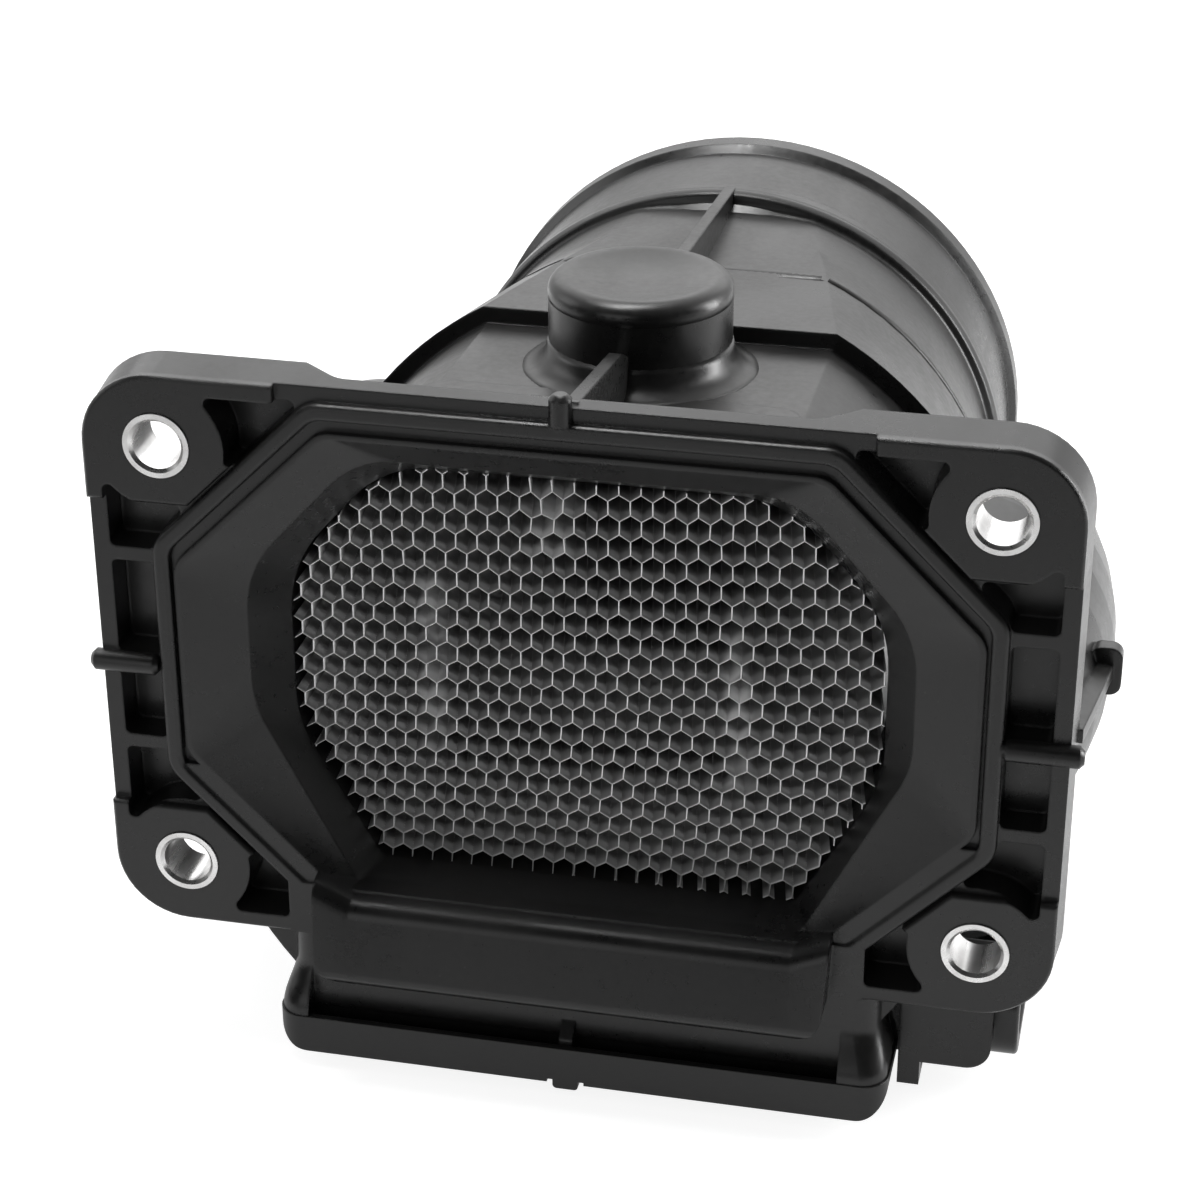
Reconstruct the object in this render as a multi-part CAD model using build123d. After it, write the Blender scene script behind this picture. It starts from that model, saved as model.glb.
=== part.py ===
from build123d import *
import math
import os

os.makedirs("parts", exist_ok=True)

# Frame: X across the flange, Y along the air flow, Z up; the origin is the centre of the four bolt
# positions on the front plane of the flange's corner pads. All sizes are in millimetres.

# ---------------------------------------------------------------- flange
BOLT_SPACING_X = 109.1
BOLT_SPACING_Z = 62.8
EDGE_X = 10.3
EDGE_Z = 9.6
CORNER_R = 10.0
FLANGE_FACE = 1.4
FLANGE_BACK = 7.5
DRAFT = 0.6
WALL_LAND = 2.3
POCKET_FLOOR = 6.2
POCKET_ROUND = 0.9
PAD_R = 9.1
PAD_START_X = 38.6
PAD_START_Z = 23.0
RIB_UPPER_Z = 14.7
RIB_LOWER_Z = -13.8
RIB_T = 2.0
TOP_WEB = 4.0
TOP_WEB_HALF = 31.0

# ---------------------------------------------------------------- collar and funnel
COLLAR_HALF_X = 56.4
COLLAR_HALF_Z = 39.0
COLLAR_DIAG = 73.4
RIDGE_W = 2.3
GROOVE_TOP_W = 1.7
GROOVE_SIDE_W = 0.5
GROOVE_DEPTH = 1.2
LIP_SETBACK = 0.4
MOUTH_Y = 3.0
MOUTH_HALF = 44.7
MOUTH_TOP = 30.7
FLOOR_Z = -33.0
SEAT_Y = 9.0
SEAT_HALF = 40.4
SEAT_TOP = 27.5

# ---------------------------------------------------------------- flow straightener
CELL_PITCH = 9.525
FOIL_T = 0.5
FOIL_RIM = 0.6
CORE_DEPTH = 12.7
LEDGE_W = 1.2

# ---------------------------------------------------------------- duct body
AXIS_Z = -14.8
BODY_R_FRONT = 52.5
BODY_TOP_FRONT = 31.0
BODY_R_STEP = 50.0
BODY_TOP_STEP = 28.5
STEP_Y = 57.5
BODY_R_REAR = 43.0
BODY_TOP_REAR = 26.0
BODY_REAR_Y = 113.0
BELLY_Z = -57.0
BORE_R = 38.0
BORE_Y = 104.0

# ---------------------------------------------------------------- outlet spigot
SHOULDER_R = 45.7
SPIGOT_R = 44.8
SPIGOT_WALL = 3.2
BEAD_R = 46.0
SPIGOT_Y = 115.0
BEAD_Y = 136.5
SPIGOT_END = 141.5

# ---------------------------------------------------------------- side bulges
POD_X = 44.0
POD_LIFT = -6.5
POD_FRONT_Y = 6.0
POD_FRONT_R = 18.5
POD_MIDDLE_Y = 40.0
POD_MIDDLE_R = 24.3
POD_TAIL_Y = 72.0
POD_TAIL_R = 18.6
POD_END_Y = 86.0
POD_END_R = 6.0
POD_STEPS = 8

# ---------------------------------------------------------------- top boss
BOSS_Y = 45.3
BOSS_R = 12.8
BOSS_TOP = 42.2
BOSS_ROUND = 1.6
DISH_R = 10.0
DISH_DEPTH = 0.6
SPINE_T = 1.8

# ---------------------------------------------------------------- chin, neck and electronics box
CHIN_HALF = 35.7
CHIN_LOW_HALF = 34.4
CHIN_LOW_Z = -43.8
CHIN_PROUD = 6.0
BASE_SHIFT = 1.1
NECK_HALF = 41.3
NECK_ROOT = 40.0
BASE_HALF = 42.7
BASE_ROUND = 3.5
FLARE_TOP = -45.0
BASE_PROUD = 3.2
TRAY_TOP = -52.9
TRAY_BOTTOM = -58.6
TRAY_WALL = 1.0
TRAY_FLOOR = 1.5
TRAY_STEP = 0.25
TRAY_ROUND = 4.5
TRAY_GAP = 0.1
COVER_CLEARANCE = 0.3
SLOT_HALF = 37.2
TAB_DROP = 0.9
TAB_X0 = -2.1
TAB_X1 = 1.5
BOX_BACK = 72.0
BOX_WALL = 2.5
SEAL_H = 1.0

# ---------------------------------------------------------------- measuring parts
CHANNEL_HALF = 21.5
CHANNEL_TOP = 4.0
CHANNEL_BOTTOM = -30.0
CHANNEL_WALL = 2.0
CHANNEL_FRONT = 26.0
CHANNEL_BACK = 95.0
CHIMNEY_R = 7.0
CHIMNEY_BORE = 5.6
VORTEX_Y = 31.0
VORTEX_W = 7.0
VORTEX_L = 8.0
TRANSDUCER_R = 8.4
TRANSDUCER_H = 13.0
TRANSMITTER_Z = 24.0
RING_T = 1.6
RING_H = 7.0
LEAD_W = 3.0
LEAD_T = 0.5
PROBE_X = -31.0
PROBE_Y = 34.0
PROBE_R = 2.6
PROBE_TOP = -12.0

# ---------------------------------------------------------------- board and connector
BOARD_TOP = -53.0
BOARD_T = 1.6
BOARD_GAP = 0.3
BOARD_SHELF = 2.0
CAVITY_HALF = 35.4
TERMINALS = 7
TERMINAL_PITCH = 3.1
TERMINAL_T = 0.8
TERMINAL_END = 56.0
TERMINAL_LEG = 35.0
SOCKET_OUT = 16.5
SOCKET_DEPTH = 13.0
SOCKET_Y = 25.0
SOCKET_Z = -50.3
WEB_OUT = 13.2
WEB_LOW = -55.0
KEY_OUT = 0.6
SOCKET_L = 23.0
SOCKET_H = 8.4
SHROUD_WALL = 2.4

# ---------------------------------------------------------------- mounting sleeves
SLEEVE_R = 4.5
SLEEVE_BORE = 3.35
SLEEVE_PROUD = 0.2
SLEEVE_CHAMFER = 0.45

BOLTS = [(sx * BOLT_SPACING_X / 2, sz * BOLT_SPACING_Z / 2) for sx in (-1, 1) for sz in (-1, 1)]
CORE_BACK = SEAT_Y + CORE_DEPTH
RIM_Z = TRAY_BOTTOM + TRAY_FLOOR
BOX_SIDE = BASE_SHIFT + BASE_HALF
SOCKET_X = BOX_SIDE + SOCKET_OUT
WEB_X = BOX_SIDE + WEB_OUT
KEY_X = BOX_SIDE + KEY_OUT


def across(y):
    """Plane square to the flow at depth y: local x is X, local y is Z."""
    return Plane(origin=(0, y, 0), x_dir=(1, 0, 0), z_dir=(0, -1, 0))


def slab(outline, y_front, y_back):
    """Solid between two depths with the given front-view outline."""
    return extrude(across(y_front) * outline, amount=y_back - y_front, dir=(0, 1, 0))


def side_plate(points, x_low, x_high):
    """Solid between two X values with the given (y, z) side-view outline."""
    plane = Plane(origin=(x_low, 0, 0), x_dir=(0, 1, 0), z_dir=(1, 0, 0))
    return extrude(plane * Polygon(*points, align=None), amount=x_high - x_low, dir=(1, 0, 0))


def rounded(corners):
    """Closed outline from (x, z, radius) corners."""
    outline = Polygon(*[(x, z) for x, z, r in corners], align=None)
    for x, z, r in corners:
        if r > 0:
            corner = outline.vertices().sort_by_distance((x, z))[0]
            outline = fillet(corner, r)
    return outline


def symmetric(right_side):
    """Outline mirrored about X = 0 from its right-hand corners, listed top to bottom."""
    left_side = [(-x, z, r) for x, z, r in reversed(right_side)]
    return rounded(right_side + left_side)


def box(x0, x1, y0, y1, z0, z1):
    """Block between six limits."""
    return Pos((x0 + x1) / 2, (y0 + y1) / 2, (z0 + z1) / 2) * Box(x1 - x0, y1 - y0, z1 - z0)


def post(x, y, r, z0, z1):
    """Upright cylinder between two heights."""
    return Pos(x, y, (z0 + z1) / 2) * Cylinder(r, z1 - z0)


def rod(x, z, r, y0, y1):
    """Cylinder along the flow between two depths."""
    return Pos(x, (y0 + y1) / 2, z) * Rot(90, 0, 0) * Cylinder(r, y1 - y0)


def octagon(half_x, half_z, diag, radius, bottom=None):
    """Octagon with 45 degree corners; diag is x + z along a corner cut."""
    low = -half_z if bottom is None else bottom
    corners = [
        (diag - half_z, half_z, radius),
        (half_x, diag - half_x, radius),
        (half_x, half_x - diag, radius),
        (diag + low, low, min(radius, 2.0)),
    ]
    return symmetric(corners)


def near_circle(radius):
    """Round section drawn as eight long arcs so that it lofts cleanly to the eight-sided sections."""
    k = math.tan(math.radians(22.5)) * radius
    r = 0.97 * radius
    corners = [(k, radius, r), (radius, k, r), (radius, -k, r), (k, -radius, r)]
    return symmetric(corners)


# ================================================================ flange

def flange_outline(grow=0.0):
    w = BOLT_SPACING_X + 2 * (EDGE_X + grow)
    h = BOLT_SPACING_Z + 2 * (EDGE_Z + grow)
    return RectangleRounded(w, h, CORNER_R + grow)


def collar_outline(inset=0.0):
    cut = COLLAR_DIAG - inset * math.sqrt(2)
    return octagon(COLLAR_HALF_X - inset, COLLAR_HALF_Z - inset, cut, 4.5 - 0.5 * inset)


def lip_outline(inset=0.0, bottom=None):
    half_x = COLLAR_HALF_X - RIDGE_W - GROOVE_SIDE_W - inset
    half_z = COLLAR_HALF_Z - RIDGE_W - GROOVE_TOP_W - inset
    diag = COLLAR_DIAG - (RIDGE_W + GROOVE_TOP_W + inset) * math.sqrt(2)
    return octagon(half_x, half_z, diag, 4.0, bottom)


def pocket_outline():
    w = BOLT_SPACING_X + 2 * (EDGE_X - WALL_LAND)
    h = BOLT_SPACING_Z + 2 * (EDGE_Z - WALL_LAND)
    area = RectangleRounded(w, h, CORNER_R - WALL_LAND)
    area -= collar_outline(-0.05)
    for x, z in BOLTS:
        area -= Pos(x, z) * Circle(PAD_R)
    for z in (RIB_UPPER_Z, RIB_LOWER_Z, -1.1):
        area -= Pos(0, z) * Rectangle(2 * BOLT_SPACING_X, RIB_T)
    area -= Pos(0, -BOLT_SPACING_Z / 2 - EDGE_Z) * Rectangle(2 * NECK_ROOT, 2 * EDGE_Z + 14)
    pieces = Sketch()
    for face in area.faces():
        small = offset(face, amount=-POCKET_ROUND)
        for core in small.faces():
            pieces += offset(core, amount=POCKET_ROUND, kind=Kind.ARC)
    return pieces


def peg(x0, z0, x1, z1, radius=1.5, y=1.0):
    """Round locating peg lying on the flange face, from one point to the other."""
    start = Vector(x0, y, z0)
    end = Vector(x1, y, z1)
    length = (end - start).length
    turn = Rot(0, 90, 0) if abs(x1 - x0) > abs(z1 - z0) else Rot(0, 0, 0)
    middle = Pos((x0 + x1) / 2, y, (z0 + z1) / 2)
    shape = middle * turn * Cylinder(radius, length)
    return chamfer(shape.edges().filter_by(GeomType.CIRCLE), 0.6)


def flange():
    front = across(FLANGE_FACE) * flange_outline()
    back = across(FLANGE_BACK) * flange_outline(DRAFT)
    body = loft([front, back], ruled=True)
    corner_w = BOLT_SPACING_X / 2 + EDGE_X
    corner_h = BOLT_SPACING_Z / 2 + EDGE_Z
    for sx in (-1, 1):
        for sz in (-1, 1):
            zone = Pos(sx * (PAD_START_X + corner_w) / 2, sz * (PAD_START_Z + corner_h) / 2)
            zone = zone * Rectangle(corner_w - PAD_START_X, corner_h - PAD_START_Z)
            pad = slab((zone & flange_outline()) - collar_outline(-0.4), 0, FLANGE_FACE)
            rim = pad.edges().filter_by_position(Axis.Y, -0.01, 0.01)
            body += chamfer(rim, 0.35)
    return body - top_relief()


def top_relief():
    """Space that thins the flange above the duct, swept out to the full depth at both ends."""
    ramp = TOP_WEB_HALF + 5.0
    corners = [
        (ramp + 3.5, FLANGE_BACK + 1.6, 0),
        (ramp, FLANGE_BACK, 4.0),
        (TOP_WEB_HALF, TOP_WEB, 4.0),
    ]
    plan = symmetric(corners)
    plane = Plane.XY.offset(BODY_TOP_FRONT)
    return extrude(plane * plan, amount=BOLT_SPACING_Z, dir=(0, 0, 1))


def collar():
    ring = slab(collar_outline() - collar_outline(RIDGE_W), 0, FLANGE_FACE + 0.5)
    ring = fillet(ring.edges().filter_by_position(Axis.Y, -0.01, 0.01), 0.7)
    field = slab(collar_outline(RIDGE_W), LIP_SETBACK, FLANGE_FACE + 0.5)
    groove = slab(collar_outline(RIDGE_W) - lip_outline(), LIP_SETBACK - 1, LIP_SETBACK + GROOVE_DEPTH)
    groove &= box(-99, 99, -9, 9, -16, 99)
    return ring + field - groove


# ================================================================ funnel and inner air path

def mouth_outline():
    corners = [
        (28.5, MOUTH_TOP, 12.0),
        (MOUTH_HALF, 12.8, 16.0),
        (MOUTH_HALF, -6.5, 12.0),
        (31.0, FLOOR_Z, 1.6),
    ]
    return symmetric(corners)


def seat_outline(inset=0.0):
    corners = [
        (26.5 - 0.5 * inset, SEAT_TOP - inset, 15.0),
        (SEAT_HALF - inset, 11.5 - 0.5 * inset, 19.0),
        (SEAT_HALF - inset, -12.5 + 0.5 * inset, 19.0),
        (29.0 - 0.6 * inset, FLOOR_Z + 0.4 + inset, 1.6),
    ]
    return symmetric(corners)


def funnel_cut():
    lip = across(LIP_SETBACK - 0.01) * lip_outline(0.7, FLOOR_Z)
    mouth = across(MOUTH_Y) * mouth_outline()
    seat = across(SEAT_Y) * seat_outline()
    cut = loft([lip, mouth], ruled=True) + loft([mouth, seat], ruled=True)
    cut += slab(lip_outline(0.7, FLOOR_Z), -12, LIP_SETBACK)
    cut += slab(seat_outline(), SEAT_Y - 0.01, CORE_BACK)
    return cut


def duct_space():
    """Open space behind the straightener, narrowing to the round bore."""
    front = across(CORE_BACK) * seat_outline(LEDGE_W)
    round_end = across(BORE_Y) * (Pos(0, AXIS_Z) * near_circle(BORE_R))
    return loft([front, round_end], ruled=True)


def bore_cut():
    inner = SPIGOT_R - SPIGOT_WALL
    points = [
        (BORE_Y - 0.4, 0),
        (BORE_Y - 0.4, BORE_R + 0.5),
        (SPIGOT_Y - 3, BORE_R + 0.5),
        (SPIGOT_Y + 3, inner),
        (SPIGOT_END - 1, inner),
        (SPIGOT_END + 1, inner + 2),
        (SPIGOT_END + 1, 0),
    ]
    return turned(points)


# ================================================================ duct body

def turned(points):
    """Solid turned about the duct's axis from (y, radius) points."""
    plane = Plane(origin=(0, 0, AXIS_Z), x_dir=(0, 1, 0), z_dir=(1, 0, 0))
    profile = plane * Polygon(*points, align=None)
    return revolve(profile, Axis((0, 0, AXIS_Z), (0, 1, 0)), 360)


def flattened(shell, y0, top0, y1, top1):
    """Turned length of the duct with its sloping flat top and its flat belly."""
    wide = 2 * BODY_R_FRONT
    lid = [(y0, top0), (y1, top1), (y1, top0 + wide), (y0, top0 + wide)]
    shell -= side_plate(lid, -wide, wide)
    return shell - box(-wide, wide, y0, y1, BELLY_Z - wide, BELLY_Z)


def duct_body():
    start = TOP_WEB - 1
    front = turned([(start, 0), (start, BODY_R_FRONT), (STEP_Y, BODY_R_STEP), (STEP_Y, 0)])
    rear = turned([(STEP_Y, 0), (STEP_Y, BODY_R_FRONT), (BODY_REAR_Y, BODY_R_REAR), (BODY_REAR_Y, 0)])
    body = flattened(front, start, BODY_TOP_FRONT, STEP_Y, BODY_TOP_STEP)
    body += flattened(rear, STEP_Y, BODY_TOP_FRONT, BODY_REAR_Y, BODY_TOP_REAR)
    over_tray = BOX_BACK + COVER_CLEARANCE
    return body - box(-BODY_R_FRONT, BODY_R_FRONT, -9, over_tray, BELLY_Z - 20, TRAY_TOP)


def spigot():
    points = [
        (BODY_REAR_Y - 3, 30),
        (BODY_REAR_Y - 3, BODY_R_REAR - 1),
        (SPIGOT_Y - 1.2, SHOULDER_R - 1.4),
        (SPIGOT_Y, SHOULDER_R),
        (SPIGOT_Y + 3.0, SHOULDER_R),
        (SPIGOT_Y + 3.6, SPIGOT_R),
        (BEAD_Y - 0.8, SPIGOT_R),
        (BEAD_Y, BEAD_R - 0.5),
        (BEAD_Y + 0.6, BEAD_R),
        (SPIGOT_END - 0.8, BEAD_R),
        (SPIGOT_END, BEAD_R - 0.8),
        (SPIGOT_END, 30),
    ]
    return turned(points)


def pod(side):
    """Bulge beside the duct, turned about an axis along the flow; its outline swells and tapers."""
    stations = [(POD_FRONT_Y, POD_FRONT_R)]
    swell = ThreePointArc(
        (POD_FRONT_Y, POD_FRONT_R),
        (POD_MIDDLE_Y, POD_MIDDLE_R),
        (POD_TAIL_Y, POD_TAIL_R),
    )
    for step in range(1, POD_STEPS + 1):
        point = swell @ (step / POD_STEPS)
        stations.append((point.X, point.Y))
    outline = [(POD_FRONT_Y, 0)] + stations + [(POD_END_Y, POD_END_R), (POD_END_Y, 0)]
    plane = Plane(origin=(side * POD_X, 0, POD_LIFT), x_dir=(0, 1, 0), z_dir=(1, 0, 0))
    profile = plane * Polygon(*outline, align=None)
    return revolve(profile, Axis((side * POD_X, 0, POD_LIFT), (0, 1, 0)), 360)


def side_fin(side):
    plane = Plane(origin=(0, 0, -2.2), x_dir=(1, 0, 0), z_dir=(0, 0, 1))
    points = [
        (side * 50, 7),
        (side * 66, 7),
        (side * 68.6, 25),
        (side * 68.6, 27),
        (side * 50, 27),
    ]
    fin = extrude(plane * Polygon(*points, align=None), amount=2.0, dir=(0, 0, 1))
    cap = Pos(side * 67.6, 26.5, -1.2) * Rot(0, 90, 0) * Box(7.0, 2.2, 4.4)
    cap = fillet(cap.edges().filter_by(Axis.Y), 1.6)
    return fin + cap


def top_boss():
    """Turned boss: flared foot, upright wall, rounded rim and a shallow dished top."""
    flare = BODY_TOP_STEP + 0.5
    sphere_r = (DISH_R**2 + DISH_DEPTH**2) / (2 * DISH_DEPTH)
    rim_start = BOSS_R - BOSS_ROUND
    wall = Polyline(
        (0, 22),
        (BOSS_R + 2.4, 22),
        (BOSS_R + 2.4, flare),
        (BOSS_R + 1.0, flare + 0.6),
        (BOSS_R + 0.3, flare + 1.5),
        (BOSS_R, flare + 3.0),
        (BOSS_R, BOSS_TOP - BOSS_ROUND),
    )
    rim = CenterArc((rim_start, BOSS_TOP - BOSS_ROUND), BOSS_ROUND, 0, 90)
    land = Line((rim_start, BOSS_TOP), (DISH_R, BOSS_TOP))
    sag = math.degrees(math.asin(DISH_R / sphere_r))
    dish = CenterArc((0, BOSS_TOP - DISH_DEPTH + sphere_r), sphere_r, 270, sag)
    axis = Line((0, BOSS_TOP - DISH_DEPTH), (0, 22))
    plane = Plane(origin=(0, BOSS_Y, 0), x_dir=(1, 0, 0), z_dir=(0, -1, 0))
    profile = plane * make_face([wall, rim, land, dish, axis])
    return revolve(profile, Axis((0, BOSS_Y, 0), (0, 0, 1)), 360)


def spine_ribs():
    fore = [(2.5, 41.4), (28.8, 37.4), (BOSS_Y - BOSS_R + 2, 34.4), (BOSS_Y - 5, 28), (2.5, 28)]
    aft = [(BOSS_Y + 5, 36.5), (77.8, 34.5), (SPIGOT_Y + 1, 31.0), (SPIGOT_Y + 1, 26), (BOSS_Y + 5, 26)]
    ribs = side_plate(fore, -SPINE_T / 2, SPINE_T / 2)
    ribs += side_plate(aft, -SPINE_T / 2, SPINE_T / 2)
    return ribs


def top_plaque():
    """Thin raised field on top of the duct between the flange and the boss."""
    slope = math.degrees(math.atan2(BODY_TOP_FRONT - BODY_TOP_STEP, STEP_Y - TOP_WEB))
    length = 31.0
    drop = (BODY_TOP_FRONT - BODY_TOP_STEP) * (TOP_WEB + length / 2 - 2) / (STEP_Y - TOP_WEB)
    plate = Pos(-1, TOP_WEB + length / 2 - 2, BODY_TOP_FRONT - drop - 0.2) * Rot(-slope, 0, 0)
    field = Box(52, length, 1.0)
    field = fillet(field.edges().filter_by(Axis.Z).sort_by(Axis.Y)[-2:], 4)
    return plate * field


# ================================================================ chin, neck and electronics box

def chin():
    """Rolled lower lip of the mouth that stands out over the electronics box."""
    sections = []
    for x, lift in ((-CHIN_HALF - 1, 2.8), (-30.5, 0.0), (30.5, 0.0), (CHIN_HALF + 1, 2.8)):
        top = FLOOR_Z + lift
        corners = [
            (4.0, top, 0),
            (-3.0, top - 0.5, 3.2),
            (-CHIN_PROUD, CHIN_LOW_Z, 1.4),
            (-CHIN_PROUD + 1.2, CHIN_LOW_Z - 1.4, 0.5),
            (4.0, CHIN_LOW_Z - 3.0, 0),
        ]
        plane = Plane(origin=(x, 0, 0), x_dir=(0, 1, 0), z_dir=(1, 0, 0))
        sections.append(plane * rounded(corners))
    bar = loft(sections, ruled=True)
    front = [
        (CHIN_HALF, FLOOR_Z + 4, 0.8),
        (CHIN_HALF, FLOOR_Z + 1.4, 0.8),
        (CHIN_LOW_HALF + 0.6, CHIN_LOW_Z - 1.5, 4.5),
    ]
    return bar & slab(symmetric(front), -20, 20)


def neck_section(z, side_grow, front_grow):
    """Plan section of the neck in front of the electronics box, at one height."""
    width = 2 * (NECK_HALF + side_grow)
    back = FLANGE_BACK + 6
    depth = back + front_grow
    middle = (back - front_grow) / 2
    return Plane.XY.offset(z) * (Pos(BASE_SHIFT, middle) * RectangleRounded(width, depth, BASE_ROUND))


def neck():
    """Upright neck under the flange that flares out into the two corners of the base."""
    start = -BOLT_SPACING_Z / 2 - EDGE_Z + 1.0
    upper = extrude(neck_section(FLARE_TOP, 0, 0), amount=start - FLARE_TOP, dir=(0, 0, 1))
    side = BASE_HALF - NECK_HALF
    front = BASE_PROUD - 0.1
    height = TRAY_TOP - FLARE_TOP
    sections = [
        neck_section(FLARE_TOP, 0, 0),
        neck_section(FLARE_TOP + 0.35 * height, 0.2 * side, 0.2 * front),
        neck_section(FLARE_TOP + 0.75 * height, 0.85 * side, 0.85 * front),
        neck_section(TRAY_TOP, side, front),
    ]
    root = box(-NECK_ROOT, NECK_ROOT, 0, FLANGE_BACK + 6, -BOLT_SPACING_Z / 2 - EDGE_Z, FLOOR_Z + 0.2)
    return upper + root + loft(sections) - front_slot()


def front_slot():
    """Recess across the front between the two corners, undercut behind the cover's wall."""
    left = BASE_SHIFT - SLOT_HALF - 1.0
    right = BASE_SHIFT + SLOT_HALF - 1.0
    slot = box(left, right, -BASE_PROUD - 2, 0, TRAY_BOTTOM - 2, FLARE_TOP)
    return slot + box(left, right, -1, 0.4, TRAY_BOTTOM - 2, TRAY_TOP + 0.2)


def plan_outline(inset=0.0):
    """Plan-view outline of the cover tray, local x is X and local y is Y."""
    w = 2 * (BASE_HALF + TRAY_STEP - inset)
    depth = BOX_BACK + BASE_PROUD - 2 * inset
    middle = (BOX_BACK - BASE_PROUD) / 2
    return Pos(BASE_SHIFT, middle) * RectangleRounded(w, depth, BASE_ROUND - 0.6 * inset)


def tray_volume(inset, low, high):
    """Block with the tray's plan outline and its rounded lower side edges."""
    block = extrude(Plane.XY.offset(low) * plan_outline(inset), amount=high - low, dir=(0, 0, 1))
    half = BASE_HALF + TRAY_STEP - inset
    front = Rectangle(2 * half, 40)
    front = fillet(front.vertices().sort_by(Axis.Y)[:2], TRAY_ROUND - inset)
    return block & slab(Pos(BASE_SHIFT, low + 20) * front, -9, BOX_BACK + 9)


def electronics_box():
    """Walls of the box under the duct; its lower end drops into the cover tray."""
    front = FLANGE_BACK + 2
    depth = BOX_BACK - TRAY_STEP - front
    upper = Pos(BASE_SHIFT, front + depth / 2) * RectangleRounded(2 * BASE_HALF, depth, 2.0)
    shape = extrude(Plane.XY.offset(TRAY_TOP) * upper, amount=17, dir=(0, 0, 1))
    shape += tray_volume(TRAY_WALL + TRAY_GAP, RIM_Z, TRAY_TOP + 0.5)
    return shape - front_slot()


def centre_rib():
    """Small upright rib that bridges the slot behind the cover's front wall."""
    front = -BASE_PROUD + TRAY_WALL + TRAY_GAP
    profile = [(1.2, -50.2), (-0.2, -50.2), (front, TRAY_TOP + 0.8), (front, RIM_Z), (1.2, RIM_Z)]
    return side_plate(profile, -1.4, 0.5)


def electronics_cavity():
    ceiling = FLOOR_Z - 3.0
    slope_end = FLOOR_Z - 14.6
    shelf = BOX_WALL + BOARD_SHELF
    back = BOX_BACK - BOX_WALL
    upper = [
        (shelf, ceiling),
        (CORE_BACK, ceiling),
        (back - BOARD_SHELF, slope_end),
        (back - BOARD_SHELF, BOARD_TOP),
        (shelf, BOARD_TOP),
    ]
    left = BASE_SHIFT - CAVITY_HALF
    right = BASE_SHIFT + CAVITY_HALF
    space = side_plate(upper, left, right)
    space += box(left, right, BOX_WALL, back, RIM_Z - 1, BOARD_TOP)
    return space


def seal_ring():
    middle = BOX_BACK / 2
    outer = Pos(BASE_SHIFT, middle) * RectangleRounded(2 * CAVITY_HALF + 4.4, BOX_BACK - 2 * BOX_WALL + 3.0, 2.0)
    inner = Pos(BASE_SHIFT, middle) * RectangleRounded(2 * CAVITY_HALF + 2.0, BOX_BACK - 2 * BOX_WALL + 0.8, 1.0)
    return extrude(Plane.XY.offset(RIM_Z) * (outer - inner), amount=SEAL_H, dir=(0, 0, 1))


# ================================================================ connector

def connector_shroud():
    l = SOCKET_L + 2 * SHROUD_WALL
    h = SOCKET_H + 2 * SHROUD_WALL
    plane = Plane(origin=(BASE_HALF - 3, 0, 0), x_dir=(0, 1, 0), z_dir=(1, 0, 0))
    outline = plane * (Pos(SOCKET_Y, SOCKET_Z) * RectangleRounded(l, h, 5.0))
    shroud = extrude(outline, amount=SOCKET_X - BASE_HALF + 3, dir=(1, 0, 0))
    shroud = fillet(shroud.edges().filter_by_position(Axis.X, SOCKET_X - 0.01, SOCKET_X + 0.01), 0.6)
    latch = [(SOCKET_X - 10, 0.0), (SOCKET_X - 4, 2.4), (SOCKET_X - 2, 2.4), (SOCKET_X - 2, 0.0)]
    top = SOCKET_Z + h / 2 - 0.2
    plane = Plane(origin=(0, SOCKET_Y + 4, top), x_dir=(1, 0, 0), z_dir=(0, -1, 0))
    shroud += extrude(plane * Polygon(*latch, align=None), amount=8, dir=(0, -1, 0))
    return shroud + connector_web() + key_block()


def connector_web():
    """Flat wall behind the flange that carries the socket, with a small core hole in its end."""
    y0 = FLANGE_BACK - 0.3
    y1 = SOCKET_Y - SOCKET_L / 2
    start = BASE_SHIFT + BASE_HALF
    web = box(KEY_X, WEB_X, y0, y1, WEB_LOW, -38.0)
    web = fillet(web.edges().filter_by(Axis.Y).sort_by(Axis.Z)[:2].sort_by(Axis.X)[-1], 3.5)
    web += box(start - 2, KEY_X + 1, y0 + 2.3, y1, WEB_LOW, -38.0)
    return web - box(WEB_X - 2.5, WEB_X + 1, y0 + 1.2, y1 - 1.0, -50.0, -44.0)


def key_block():
    """Square foot beside the box with a small hole in its outer side."""
    y0 = FLANGE_BACK - 0.3
    foot = box(KEY_X, KEY_X + 3.0, y0, y0 + 6.5, TRAY_BOTTOM - 0.2, SOCKET_Z)
    return foot - box(KEY_X + 1.6, KEY_X + 4, y0 + 2.5, y0 + 5.2, TRAY_BOTTOM + 0.8, WEB_LOW - 0.5)


def socket_cut():
    plane = Plane(origin=(SOCKET_X + 1, 0, 0), x_dir=(0, 1, 0), z_dir=(1, 0, 0))
    outline = plane * (Pos(SOCKET_Y, SOCKET_Z) * RectangleRounded(SOCKET_L, SOCKET_H, 3.6))
    return extrude(outline, amount=SOCKET_DEPTH + 1, dir=(-1, 0, 0))


def terminal(index):
    y = SOCKET_Y + (index - (TERMINALS - 1) / 2) * TERMINAL_PITCH
    t = TERMINAL_T / 2
    blade = box(TERMINAL_LEG - t, TERMINAL_END, y - t, y + t, SOCKET_Z - t, SOCKET_Z + t)
    leg = box(TERMINAL_LEG - t, TERMINAL_LEG + t, y - t, y + t, BOARD_TOP, SOCKET_Z)
    tip = blade + leg
    end = tip.edges().filter_by_position(Axis.X, TERMINAL_END - 0.01, TERMINAL_END + 0.01)
    return chamfer(end, 0.2)


# ================================================================ housing

def receiver_collar():
    return post(0, BOSS_Y, TRANSDUCER_R + RING_T + 1.8, CHANNEL_BOTTOM - 15, CHANNEL_BOTTOM - 2)


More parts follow.
